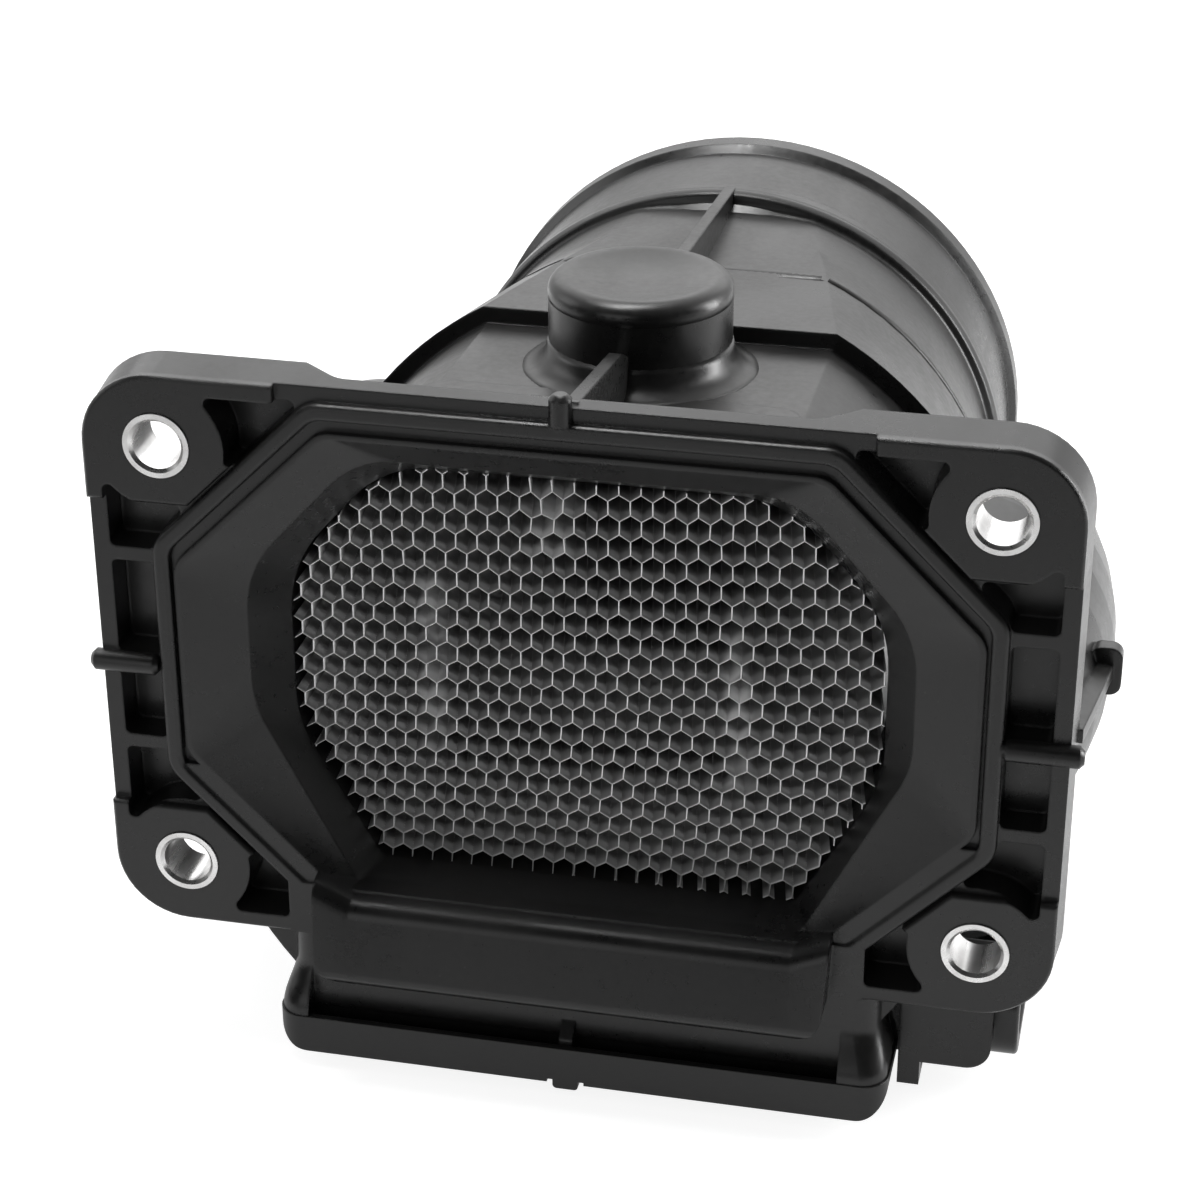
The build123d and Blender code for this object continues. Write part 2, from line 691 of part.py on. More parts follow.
def transmitter_collar():
    return post(0, BOSS_Y, TRANSDUCER_R + RING_T + 1.6, TRANSMITTER_Z - 2, BODY_TOP_STEP)


def housing():
    shell = flange() + collar()
    shell += duct_body() + spigot()
    for side in (-1, 1):
        shell += pod(side)
        shell += side_fin(side)
    shell += neck() + electronics_box() + centre_rib()
    shell += connector_shroud()
    shell -= slab(pocket_outline(), -1, POCKET_FLOOR)
    shell += peg(-COLLAR_HALF_X - 0.3, -1.4, -66.2, -1.4)
    shell += peg(COLLAR_HALF_X - 0.2, -0.9, 66.7, -0.9)
    shell += peg(-1.1, COLLAR_HALF_Z - 0.7, -1.1, 43.0)
    shell += top_boss() + spine_ribs() + top_plaque()
    shell -= funnel_cut()
    shell += chin()
    shell -= duct_space()
    shell -= bore_cut()
    shell -= electronics_cavity()
    shell += receiver_collar()
    shell += transmitter_collar()
    well = TRANSDUCER_R + RING_T
    shell -= post(0, BOSS_Y, well, TRANSMITTER_Z - 3, BOSS_TOP - 3.4)
    shell -= post(0, BOSS_Y, well, CHANNEL_BOTTOM - 16, CHANNEL_BOTTOM)
    shell -= post(PROBE_X, PROBE_Y, PROBE_R, BOARD_TOP, 0)
    lead_x = CHANNEL_HALF
    shell -= box(lead_x, lead_x + LEAD_T, BOSS_Y - LEAD_W / 2, BOSS_Y + LEAD_W / 2, BOARD_TOP, -20)
    shell -= socket_cut()
    for index in range(TERMINALS):
        shell -= terminal(index)
    for x, z in BOLTS:
        shell -= rod(x, z, SLEEVE_R, -2, FLANGE_BACK + 2)
    shell -= seal_ring()
    return shell


# ================================================================ loose pieces

def mounting_sleeve(x, z):
    tube = rod(x, z, SLEEVE_R, -SLEEVE_PROUD, FLANGE_BACK + SLEEVE_PROUD)
    tube -= rod(x, z, SLEEVE_BORE, -2, FLANGE_BACK + 2)
    bore_edges = tube.edges().filter_by(GeomType.CIRCLE).sort_by(lambda e: e.radius)[:2]
    return chamfer(bore_edges, SLEEVE_CHAMFER)


def hex_centres():
    """Centres of the cells, pointed up, rows one above the other."""
    row_step = CELL_PITCH * math.sqrt(3) / 2
    rows = int((SEAT_TOP - FLOOR_Z) / row_step) + 2
    columns = int(SEAT_HALF / CELL_PITCH) + 2
    centres = []
    for row in range(-rows // 2, rows // 2 + 2):
        shift = 0.5 * CELL_PITCH if row % 2 else 0.0
        for column in range(-columns, columns + 1):
            centres.append((column * CELL_PITCH + shift, row * row_step - 2.0))
    return centres


def flow_straightener():
    outline = seat_outline()
    window = seat_outline(FOIL_RIM)
    cell_r = (CELL_PITCH - FOIL_T) / math.sqrt(3)
    cells = Sketch()
    holes = []
    reach = SEAT_HALF + CELL_PITCH
    for x, z in hex_centres():
        if abs(x) < reach and FLOOR_Z - CELL_PITCH < z < SEAT_TOP + CELL_PITCH:
            cell = Pos(x, z) * RegularPolygon(cell_r, 6, rotation=30)
            cut = cell & window
            if cut.area > 0.6:
                holes.append(cut)
    for hole in holes:
        cells += hole
    return slab(outline - cells, SEAT_Y, CORE_BACK)


def metering_duct():
    h = CHANNEL_TOP - CHANNEL_BOTTOM
    middle = (CHANNEL_TOP + CHANNEL_BOTTOM) / 2
    outer = Pos(0, middle) * RectangleRounded(2 * CHANNEL_HALF, h, 2.5)
    inner = Pos(0, middle) * RectangleRounded(2 * (CHANNEL_HALF - CHANNEL_WALL), h - 2 * CHANNEL_WALL, 1.5)
    tube = slab(outer - inner, CHANNEL_FRONT, CHANNEL_BACK)
    tube += post(0, BOSS_Y, CHIMNEY_R, CHANNEL_TOP - 0.5, TRANSMITTER_Z)
    tube -= post(0, BOSS_Y, CHIMNEY_BORE, CHANNEL_TOP - 4, TRANSMITTER_Z + 1)
    lead_z = TRANSMITTER_Z - 3.2
    tube += box(CHIMNEY_BORE + 0.6, CHANNEL_HALF, BOSS_Y - 1, BOSS_Y + 1, CHANNEL_TOP - 1, lead_z)
    tube -= post(0, BOSS_Y, CHIMNEY_BORE, CHANNEL_BOTTOM - 1, CHANNEL_BOTTOM + 4)
    for side in (-1, 1):
        keel = box(side * 17 - 1, side * 17 + 1, CHANNEL_FRONT, CHANNEL_BACK - 15, -56, CHANNEL_BOTTOM + 1)
        tube += keel & duct_space()
    tube -= vortex_generator()
    return tube


def vortex_generator():
    middle = (CHANNEL_TOP + CHANNEL_BOTTOM) / 2
    points = [
        (VORTEX_Y, middle - VORTEX_W / 2),
        (VORTEX_Y + VORTEX_L, middle - 0.6),
        (VORTEX_Y + VORTEX_L, middle + 0.6),
        (VORTEX_Y, middle + VORTEX_W / 2),
    ]
    grip = CHANNEL_HALF - CHANNEL_WALL / 2
    return side_plate(points, -grip, grip)


def ultrasonic_transmitter():
    body = post(0, BOSS_Y, TRANSDUCER_R, TRANSMITTER_Z, TRANSMITTER_Z + TRANSDUCER_H)
    return chamfer(body.edges().sort_by(Axis.Z)[-1], 0.8)


def ultrasonic_receiver():
    base = CHANNEL_BOTTOM - TRANSDUCER_H
    body = post(0, BOSS_Y, TRANSDUCER_R, base, CHANNEL_BOTTOM)
    body = chamfer(body.edges().sort_by(Axis.Z)[0], 0.8)
    for side in (-1, 1):
        body += post(side * 3.5, BOSS_Y, 0.5, BOARD_TOP, base + 1)
    return body


def seal_around(z_low):
    ring = post(0, BOSS_Y, TRANSDUCER_R + RING_T, z_low, z_low + RING_H)
    return ring - post(0, BOSS_Y, TRANSDUCER_R, z_low - 1, z_low + RING_H + 1)


def transmitter_lead():
    y0 = BOSS_Y - LEAD_W / 2
    y1 = BOSS_Y + LEAD_W / 2
    run_z = TRANSMITTER_Z - 3.2
    start = CHIMNEY_R + 0.2
    end = CHANNEL_HALF + LEAD_T
    strip = box(start, start + LEAD_T, y0, y1, run_z, TRANSMITTER_Z)
    strip += box(start, end, y0, y1, run_z, run_z + LEAD_T)
    strip += box(CHANNEL_HALF, end, y0, y1, BOARD_TOP, run_z + LEAD_T)
    return strip


def air_temperature_sensor():
    probe = post(PROBE_X, PROBE_Y, PROBE_R, BOARD_TOP, PROBE_TOP)
    return fillet(probe.edges().sort_by(Axis.Z)[-1], 1.8)


def circuit_board():
    width = 2 * (CAVITY_HALF - BOARD_GAP)
    depth = BOX_BACK - 2 * (BOX_WALL + BOARD_GAP)
    outline = Pos(BASE_SHIFT, BOX_BACK / 2) * RectangleRounded(width, depth, 1.0)
    return extrude(Plane.XY.offset(BOARD_TOP - BOARD_T) * outline, amount=BOARD_T, dir=(0, 0, 1))


def chip(x, y, w, d, h):
    body = box(x - w / 2, x + w / 2, y - d / 2, y + d / 2, BOARD_TOP, BOARD_TOP + h)
    return chamfer(body.edges().filter_by_position(Axis.Z, BOARD_TOP + h - 0.01, BOARD_TOP + h + 0.01), 0.25)


def pressure_sensor():
    case = chip(-16, 15, 12, 11, 5.0)
    return case + post(-16, 15, 1.6, BOARD_TOP + 4, BOARD_TOP + 9)


def filter_capacitor():
    can = post(24, 58, 3.2, BOARD_TOP, BOARD_TOP + 5.4)
    return fillet(can.edges().sort_by(Axis.Z)[-1], 0.6)


def clock_crystal():
    can = box(-27.5, -16.5, 52.7, 57.3, BOARD_TOP, BOARD_TOP + 3.6)
    can = fillet(can.edges().filter_by(Axis.Z), 1.6)
    return chamfer(can.edges().group_by(Axis.Z)[-1], 0.25)


def bottom_cover():
    """Tray round the lower end of the box: rounded lower sides, a gap for the socket, a front tab."""
    tray = tray_volume(0, TRAY_BOTTOM, TRAY_TOP) - tray_volume(TRAY_WALL, RIM_Z, TRAY_TOP + 3)
    side = BASE_SHIFT + BASE_HALF
    reach = SOCKET_L / 2 + SHROUD_WALL + 0.2
    tray -= box(side - 5, side + 3, FLANGE_BACK + 1.8, SOCKET_Y + reach, RIM_Z, TRAY_TOP + 1)
    front = -BASE_PROUD
    low = TRAY_BOTTOM - TAB_DROP
    tray -= box(TAB_X0 - 0.8, TAB_X1 + 0.8, front - 1, front + 2.2, low - 1, TRAY_BOTTOM + 0.5)
    outline = [(TAB_X0, low), (TAB_X1, low), (TAB_X1, TRAY_BOTTOM + 1), (TAB_X0, TRAY_BOTTOM + 1)]
    face = make_face(Polyline(*outline, close=True))
    face = fillet(face.vertices().sort_by(Axis.Y)[:2], 0.6)
    return tray + slab(face, front, front + 2.2)


PARTS = {
    "housing": housing(),
    "flow_straightener": flow_straightener(),
    "metering_duct": metering_duct(),
    "vortex_generator": vortex_generator(),
    "ultrasonic_transmitter": ultrasonic_transmitter(),
    "ultrasonic_receiver": ultrasonic_receiver(),
    "transmitter_seal": seal_around(TRANSMITTER_Z + 2),
    "receiver_seal": seal_around(CHANNEL_BOTTOM - 10),
    "transmitter_lead": transmitter_lead(),
    "air_temperature_sensor": air_temperature_sensor(),
    "circuit_board": circuit_board(),
    "processor_chip": chip(-2, 24, 15, 15, 2.2),
    "amplifier_chip": chip(14, 14, 8, 6, 1.8),
    "pressure_sensor": pressure_sensor(),
    "filter_capacitor": filter_capacitor(),
    "clock_crystal": clock_crystal(),
    "cover_seal": seal_ring(),
    "bottom_cover": bottom_cover(),
}
for number, (x, z) in enumerate(BOLTS, start=1):
    PARTS[f"mounting_sleeve_{number}"] = mounting_sleeve(x, z)
for index in range(TERMINALS):
    PARTS[f"terminal_{index + 1}"] = terminal(index)

for name, shape in PARTS.items():
    export_step(shape, f"parts/{name}.step")
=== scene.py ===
"""Looks of a mass airflow sensor: a black moulded housing with a bright honeycomb across its inlet, four
aluminium bushes in its flange, a tray under its electronics box and a round spigot behind. All in metres."""
import math

import bpy
import bmesh
from mathutils import Euler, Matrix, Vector


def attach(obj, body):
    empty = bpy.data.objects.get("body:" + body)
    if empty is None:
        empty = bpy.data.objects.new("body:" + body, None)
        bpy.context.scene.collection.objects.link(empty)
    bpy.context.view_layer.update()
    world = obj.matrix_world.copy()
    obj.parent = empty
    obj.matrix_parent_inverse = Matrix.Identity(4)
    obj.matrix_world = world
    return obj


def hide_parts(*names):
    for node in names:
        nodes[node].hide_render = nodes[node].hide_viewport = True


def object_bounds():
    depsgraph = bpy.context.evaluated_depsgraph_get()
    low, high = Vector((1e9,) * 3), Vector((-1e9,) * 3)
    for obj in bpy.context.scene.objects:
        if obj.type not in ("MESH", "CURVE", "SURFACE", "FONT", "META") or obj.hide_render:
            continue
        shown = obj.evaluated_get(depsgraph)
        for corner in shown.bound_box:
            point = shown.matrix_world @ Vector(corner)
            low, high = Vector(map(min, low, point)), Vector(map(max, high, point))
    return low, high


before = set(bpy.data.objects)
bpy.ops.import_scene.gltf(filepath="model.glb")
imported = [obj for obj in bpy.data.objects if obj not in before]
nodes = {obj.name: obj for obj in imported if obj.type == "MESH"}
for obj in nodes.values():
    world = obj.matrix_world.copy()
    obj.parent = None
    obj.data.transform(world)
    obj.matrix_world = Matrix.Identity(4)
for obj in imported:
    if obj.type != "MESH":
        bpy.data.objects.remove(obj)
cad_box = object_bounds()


# ---------------------------------------------------------------- housing
# One glass-filled polyester moulding: flange, funnel, duct, side pods, top boss, electronics box and
# connector socket. It is semi-gloss black, with a fine mottle from the filler and a film of dust on top.

class Wire:
    """A node socket that takes +, -, * and / as a number does."""

    def __init__(self, tree, socket=None):
        self.tree = tree
        self.socket = socket

    def add(self, kind, sockets=None, out=0, stops=None, **settings):
        """Adds a node: its settings first, then the numbers or wires of its sockets."""
        node = self.tree.nodes.new(kind)
        for name, value in settings.items():
            setattr(node, name, value)
        for place, (position, grey) in enumerate(stops or ()):
            ramp = node.color_ramp.elements
            stop = ramp[place] if place < len(ramp) else ramp.new(position)
            stop.position = position
            stop.color = (grey, grey, grey, 1)
        for key, value in (sockets or {}).items():
            if isinstance(value, Wire):
                self.tree.links.new(value.socket, node.inputs[key])
            else:
                node.inputs[key].default_value = value
        return Wire(self.tree, node.outputs[out])

    def maths(self, operation, *others, clamp=False):
        """This number put through a Math node, with any others that it needs."""
        values = dict(enumerate((self, *others)))
        return self.add("ShaderNodeMath", values, operation=operation, use_clamp=clamp)

    def blend(self, low, high):
        """A colour that goes from low to high as this number goes from 0 to 1."""
        return self.add("ShaderNodeMix", {0: self, 6: low, 7: high}, out=2, data_type="RGBA")

    def step(self, low, high):
        """0 below low, 1 above high and smooth between them."""
        ramp = {"Value": self, "From Min": low, "From Max": high, "To Min": 0.0, "To Max": 1.0}
        return self.add("ShaderNodeMapRange", ramp, interpolation_type="SMOOTHSTEP")

    def __add__(self, other):
        return self.maths("ADD", other)

    def __mul__(self, other):
        return self.maths("MULTIPLY", other)

    def __sub__(self, other):
        return self.maths("SUBTRACT", other)

    def __rsub__(self, other):
        return self.add("ShaderNodeMath", {0: other, 1: self}, operation="SUBTRACT")

    def __truediv__(self, other):
        return self.maths("DIVIDE", other)

    __radd__ = __add__
    __rmul__ = __mul__


def grey(level, warm=0.0):
    """A near-neutral colour; warm above 0 leans it to yellow, below 0 to blue."""
    return (level * (1 + warm), level, level * (1 - warm), 1)


def new_material(name):
    """An empty material and a wire to start its nodes from."""
    made = bpy.data.materials.new(name)
    made.use_nodes = True
    made.node_tree.nodes.clear()
    return made, Wire(made.node_tree)


def surface(start, sockets):
    """Ends a material in one Principled shader."""
    shader = start.add("ShaderNodeBsdfPrincipled", sockets)
    output = start.tree.nodes.new("ShaderNodeOutputMaterial")
    start.tree.links.new(shader.socket, output.inputs["Surface"])


def noise(start, at, scale, detail=3.0, roughness=0.5):
    """Cloudy noise from 0 to 1; a greater scale makes it finer."""
    sockets = {"Vector": at, "Scale": scale, "Detail": detail, "Roughness": roughness}
    return start.add("ShaderNodeTexNoise", sockets)


def moulded_black(name, level, rough, grain, edge):
    """Semi-gloss black plastic: mottled colour and gloss, fine grain, rounded corners and a film of dust."""
    made, start = new_material(name)
    at = start.add("ShaderNodeTexCoord", out=3)
    cloud = noise(start, at, 38.0)
    mottle = noise(start, at, 900.0, 4.0, 0.6)
    fine = noise(start, at, 3600.0, 2.0)
    stretched = start.add("ShaderNodeMapping", {"Vector": at, "Scale": (40.0, 9.0, 160.0)})
    smear = noise(start, stretched, 3.0)
    rounded = start.add("ShaderNodeBevel", {"Radius": edge}, samples=4)
    face = start.add("ShaderNodeNewGeometry", out=1)
    up = start.add("ShaderNodeSeparateXYZ", {0: face}, out=2)
    speck = start.add("ShaderNodeTexVoronoi", {"Vector": at, "Scale": 420.0, "Randomness": 1.0})
    lint = (1 - speck.step(0.03, 0.10)) * cloud.step(0.45, 0.7)
    dust = up.step(0.25, 0.95) * (0.35 + mottle * 0.6) * cloud.step(0.25, 0.75)
    tone = cloud * 0.5 + mottle * 0.5
    colour = tone.step(0.3, 0.7).blend(grey(level * 0.75, -0.02), grey(level * 1.3, 0.02))
    soil = (dust * 0.10 + lint * 0.12).maths("MINIMUM", 0.3)
    colour = soil.blend(colour, grey(0.16, 0.03))
    gloss = rough + (cloud - 0.5) * 0.12 + (mottle - 0.5) * 0.16 + (smear - 0.5) * 0.10 + dust * 0.18
    height = mottle * 0.7 + fine * 0.3
    bumped = start.add("ShaderNodeBump", {
        "Height": height, "Strength": grain, "Distance": 0.0001, "Normal": rounded,
    })
    surface(start, {"Base Color": colour, "Roughness": gloss, "Normal": bumped, "IOR": 1.5})
    return made


def dress(node, made):
    """Gives a CAD node its finish, in the slot it came with."""
    for held in nodes[node].material_slots:
        held.material = made


plastic = moulded_black("moulded_plastic", 0.009, 0.30, 0.08, 0.00055)
dress("housing", plastic)


# ---------------------------------------------------------------- soft shapes of the moulding
# The housing's soft transitions, of the same plastic and lying on it: a cove where the duct meets the
# spigot's shoulder, a pebbled foot round the boss and a dished cap on it. Sizes here are in mm.

MM = 0.001
AXIS_Z = -14.8
DUCT_START = 57.5
DUCT_END = 113.0
START_R = 52.5
END_R = 43.0
START_TOP = 31.0
END_TOP = 26.0
BELLY_Z = -57.0
SHOULDER_R = 45.35
COVE_START = 84
COVE_INNER_R = 40.0
BOSS_Y = 45.3
TOP_SLOPE = 0.0459


def closed_skin(name, rows, made):
    """A closed shell through rows of points; each row is a loop, and the last row joins the first."""
    mesh = bpy.data.meshes.new(name)
    count = len(rows[0])
    corners = [tuple(c * MM for c in point) for row in rows for point in row]
    faces = []
    for i in range(len(rows)):
        for j in range(count):
            a = i * count + j
            b = i * count + (j + 1) % count
            c = (i + 1) % len(rows) * count
            faces.append((a, b, c + (j + 1) % count, c + j))
    mesh.from_pydata(corners, [], faces)
    work = bmesh.new()
    work.from_mesh(mesh)
    bmesh.ops.remove_doubles(work, verts=work.verts, dist=1e-7)
    bmesh.ops.recalc_face_normals(work, faces=work.faces)
    work.to_mesh(mesh)
    work.free()
    mesh.shade_smooth()
    mesh.materials.append(made)
    piece = bpy.data.objects.new(name, mesh)
    bpy.context.scene.collection.objects.link(piece)
    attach(piece, "root")
    return piece


def duct_radius(y, angle):
    """How far the duct's skin is from the bore's axis behind the step, where its top and belly are flat."""
    along = (y - DUCT_START) / (DUCT_END - DUCT_START)
    reach = START_R - (START_R - END_R) * along
    top = START_TOP - (START_TOP - END_TOP) * along - AXIS_Z
    up = math.cos(angle)
    if up > 0:
        reach = min(reach, top / up)
    if up < 0:
        reach = min(reach, (BELLY_Z - AXIS_Z) / up)
    return reach


def shoulder_cove(around=240):
    """A slow lift along the duct and a steep wall up to the shoulder: shares of the way up, at each y."""
    rise = (
        (COVE_START, -0.03), (88, 0.02), (94, 0.12), (100, 0.25), (106, 0.38), (110, 0.46), (112.2, 0.50),
        (112.9, 0.56), (113.2, 0.68), (113.35, 0.85), (113.5, 1.0), (113.8, 1.03),
    )
    crest = [(114.5, 45.76), (115.6, 45.78), (116.0, 45.2), (116.0, COVE_INNER_R), (COVE_START, COVE_INNER_R)]
    rows = []
    for place in range(around):
        angle = math.tau * place / around
        row = []
        for y, share in rise:
            base = duct_radius(y, angle)
            row.append((y, base + share * (SHOULDER_R - base)))
        rows.append([(r * math.sin(angle), y, AXIS_Z + r * math.cos(angle)) for y, r in row + crest])
    closed_skin("shoulder_cove", rows, plastic)


def boss_turned(name, profile, wobble=0.0, around=180):
    """A ring turned about the boss's axis from (radius, height, share of the duct's slope it follows)."""
    rows = []
    for place in range(around):
        angle = math.tau * place / around
        row = []
        for r, z, slope in profile:
            x = r * math.sin(angle)
            y = r * math.cos(angle)
            rough = wobble * math.sin(angle * 37 + r * 9) * math.sin(angle * 53 + r * 17 + 1.0) * slope
            row.append((x, BOSS_Y + y, z - TOP_SLOPE * y * slope + rough))
        rows.append(row)
    closed_skin(name, rows, plastic)


shoulder_cove()
boss_turned("boss_foot", [
    (16.6, 28.9, 1), (16.4, 29.12, 1), (15.7, 29.30, 1), (15.0, 29.55, 1), (14.4, 29.95, 1),
    (13.8, 30.6, 0.6), (13.3, 31.5, 0.3), (12.95, 32.8, 0), (12.7, 34.0, 0), (12.7, 28.9, 0),
], wobble=0.07)
boss_turned("boss_cap", [
    (0.0, 41.63, 0), (2.5, 41.68, 0), (5.0, 41.84, 0), (7.5, 42.12, 0), (9.4, 42.42, 0), (10.0, 42.52, 0),
    (10.5, 42.56, 0), (11.0, 42.50, 0), (11.7, 42.24, 0), (12.3, 41.80, 0), (12.7, 41.2, 0), (12.84, 40.4, 0),
    (12.84, 39.6, 0), (12.7, 39.4, 0), (0.0, 39.4, 0),
])


# ---------------------------------------------------------------- bottom cover
# The tray that closes the electronics box from below, moulded in the same black polyester. It sits round the
# box's lower rim, with a soft bead between the two.

dress("bottom_cover", moulded_black("cover_plastic", 0.009, 0.38, 0.10, 0.0003))


# ---------------------------------------------------------------- mounting sleeves
# Turned aluminium bushes pressed into the flange's corners, so that the bolts don't crush the plastic. Their
# ends are faced on a lathe, which leaves fine rings, and their bores are drawn and brighter.

def turned_aluminium():
    made, start = new_material("sleeve_aluminium")
    at = start.add("ShaderNodeTexCoord", out=3)
    turned = start.add("ShaderNodeMapping", {"Vector": at, "Scale": (900.0, 30.0, 900.0)})
    streak = noise(start, turned, 1.0, 4.0)
    stain = noise(start, at, 260.0, 4.0)
    pit = noise(start, at, 2400.0, 2.0)
    colour = stain.step(0.3, 0.75).blend(grey(0.86, 0.004), grey(0.66, 0.012))
    gloss = 0.24 + (streak - 0.5) * 0.25 + stain * 0.10
    height = streak * 0.6 + pit * 0.4
    bumped = start.add("ShaderNodeBump", {"Height": height, "Strength": 0.18, "Distance": 0.0001})
    surface(start, {"Base Color": colour, "Metallic": 1.0, "Roughness": gloss, "Normal": bumped})
    return made


sleeve_finish = turned_aluminium()
for number in (1, 2, 3, 4):
    dress(f"mounting_sleeve_{number}", sleeve_finish)


# ---------------------------------------------------------------- metering duct and vortex bar
# A square tube inside the housing that carries the measured part of the air past a bar that sheds vortices.

inner_finish = moulded_black("inner_plastic", 0.010, 0.42, 0.10, 0.0002)
dress("metering_duct", inner_finish)
dress("vortex_generator", inner_finish)


# ---------------------------------------------------------------- honeycomb
# Aluminium foil strips glued and pulled out into hexagonal cells, cut to the mouth's outline. Walls are one
# foil thick on the slants and two on the uprights, and glue shows as beads along each cell's crease.

SEAT_Y = 9.0
FOIL_DEPTH = 12.7
FOIL_COLUMNS = 35
FOIL_ROWS = 27

# The pack isn't quite regular. These are the terms of two cubics that carry a cell's column and row to its
# place in mm, with the column in units of BEND_COLUMNS and the row in units of BEND_ROWS. They come from a
# least-squares fit to where the cells lie.
BEND_COLUMNS = 14
BEND_ROWS = 10
BEND_X = (0.005, 41.36, 0.842, 1.298, 0.011, -0.617, 0.500, -0.383, -0.129, -0.029)
BEND_Z = (-1.698, 1.555, 27.864, 0.186, 0.794, 0.668, 0.366, 0.500, 0.029, -0.025)


def rounded_outline(corners, steps=10):
    """Points round a shape that mirrors about x = 0, from its right corners (x, z, radius), top to bottom."""
    ring = corners + [(-x, z, r) for x, z, r in reversed(corners)]
    points = []
    for place, (x, z, r) in enumerate(ring):
        here = Vector((x, z))
        before = (Vector(ring[place - 1][:2]) - here).normalized()
        after = (Vector(ring[(place + 1) % len(ring)][:2]) - here).normalized()
        half = before.angle(after) / 2
        centre = here + (before + after).normalized() * (r / math.sin(half))
        start = here + before * (r / math.tan(half)) - centre
        end = here + after * (r / math.tan(half)) - centre
        sweep = start.angle_signed(end)
        for step in range(steps + 1):
            turn = -sweep * step / steps
            c, s = math.cos(turn), math.sin(turn)
            points.append(centre + Vector((start.x * c - start.y * s, start.x * s + start.y * c)))
    return points


def seat_points(inset):
    return rounded_outline([
        (26.5 - 0.5 * inset, 27.5 - inset, 15.0),
        (40.4 - inset, 11.5 - 0.5 * inset, 19.0),
        (40.4 - inset, -12.5 + 0.5 * inset, 19.0),
        (29.0 - 0.6 * inset, -32.6 + inset, 1.6),
    ])


def seat_guide(inset):
    """A flat face in the XY plane that says where the foil was cut."""
    mesh = bpy.data.meshes.new("foil_cut")
    points = seat_points(inset)
    mesh.from_pydata([(p.x * MM, p.y * MM, 0) for p in points], [], [range(len(points))])
    return bpy.data.objects.new("foil_cut", mesh)


def bent(column, row, numbers):
    """The cubic that carries a cell's column and row to one of its coordinates."""
    u = column / BEND_COLUMNS
    v = row / BEND_ROWS
    uu = u * u
    vv = v * v
    terms = (1.0, u, v, uu, u * v, vv, uu * u, uu * v, u * vv, vv * v)
    total = u * numbers[1] + numbers[0]
    for number, term in list(zip(numbers, terms))[2:]:
        total = total + term * number
    return total * MM


